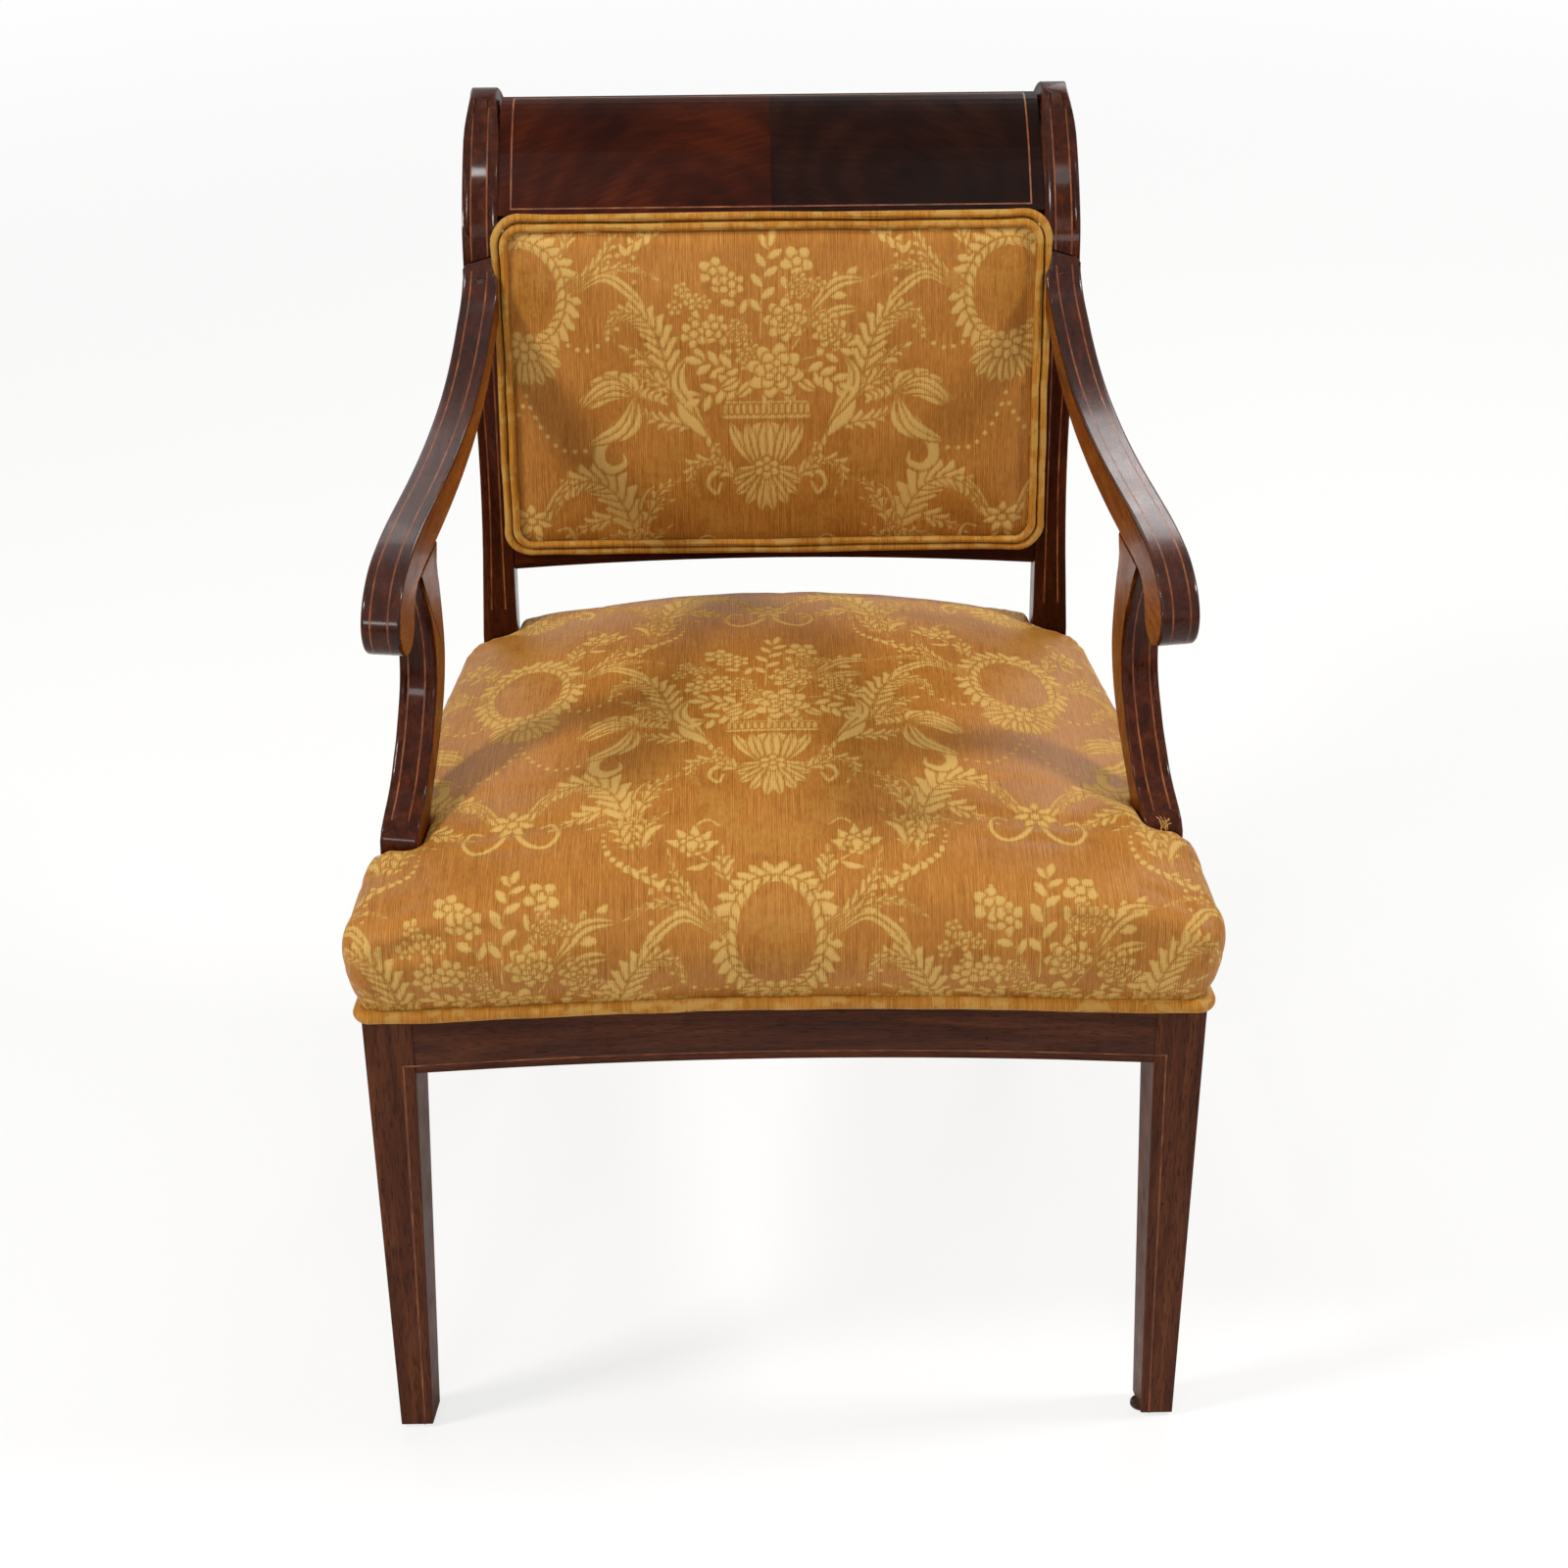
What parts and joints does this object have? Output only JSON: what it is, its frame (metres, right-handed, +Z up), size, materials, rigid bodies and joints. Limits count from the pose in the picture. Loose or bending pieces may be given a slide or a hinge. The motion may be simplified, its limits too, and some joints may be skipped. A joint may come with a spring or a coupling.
{
  "type": "armchair",
  "caption": "Upholstered mahogany armchair with scrolled back and arms, swept rear legs, tapered front legs, boxwood stringing and a damask seat and padded back.",
  "frame": {"origin": "centre of the chair's plan, on the floor plane under the feet", "axes": "+Z up, the sitter looks along -Y, +X to the viewer's right when facing the chair"},
  "size_m": [0.6056, 0.6196, 0.834],
  "materials": {
    "mahogany_red": "French-polished mahogany, dark red-brown, glossy",
    "mahogany_brown": "French-polished mahogany, milk-chocolate brown, glossy",
    "flame_veneer_light": "flame mahogany veneer, polished",
    "flame_veneer_dark": "flame mahogany veneer, darker sheet, polished",
    "boxwood": "boxwood stringing under polish",
    "beech": "plain beech, unpolished",
    "damask": "gold-ochre damask with straw-coloured figure",
    "piping": "cord covered in the damask",
    "webbing": "jute webbing",
    "hessian": "hessian",
    "stuffing": "horsehair under scrim",
    "steel": "old steel screws",
    "glide_metal": "dark domed steel"
  },
  "bodies": {
    "root": {"front_leg_left": "mahogany_brown", "front_leg_right": "mahogany_brown", "rear_leg_left": "mahogany_red", "rear_leg_right": "mahogany_red", "front_rail": "mahogany_brown", "side_rail_left": "mahogany_brown", "side_rail_right": "mahogany_brown", "rear_rail": "mahogany_brown", "brace_front_left": "beech", "brace_front_right": "beech", "brace_rear_left": "beech", "brace_rear_right": "beech", "screws_front_left": "steel", "screws_front_right": "steel", "screws_rear_left": "steel", "screws_rear_right": "steel", "crest_rail": "mahogany_red", "crest_veneer_left": "flame_veneer_light", "crest_veneer_right": "flame_veneer_dark", "lower_back_rail": "mahogany_red", "arm_left": "mahogany_red", "arm_right": "mahogany_red", "arm_support_left": "mahogany_red", "arm_support_right": "mahogany_red", "crest_stringing": "boxwood", "post_stringing_left": "boxwood", "post_stringing_right": "boxwood", "arm_stringing_left": "boxwood", "arm_stringing_right": "boxwood", "support_stringing_left": "boxwood", "support_stringing_right": "boxwood", "rail_stringing": "boxwood", "leg_stringing_left": "boxwood", "leg_stringing_right": "boxwood", "seat_webbing_across": "webbing", "seat_webbing_along": "webbing", "seat_hessian": "hessian", "seat_stuffing": "stuffing", "seat_cover": "damask", "seat_cord": "piping", "back_stile_left": "beech", "back_stile_right": "beech", "back_batten_top": "beech", "back_batten_bottom": "beech", "back_webbing_across": "webbing", "back_webbing_along": "webbing", "back_hessian": "hessian", "back_pad": "damask", "back_cord_outer": "piping", "back_cord_inner": "piping", "outside_back": "damask", "glide_front_left": "glide_metal", "glide_front_right": "glide_metal", "glide_rear_left": "glide_metal", "glide_rear_right": "glide_metal"}
  },
  "joints": []
}
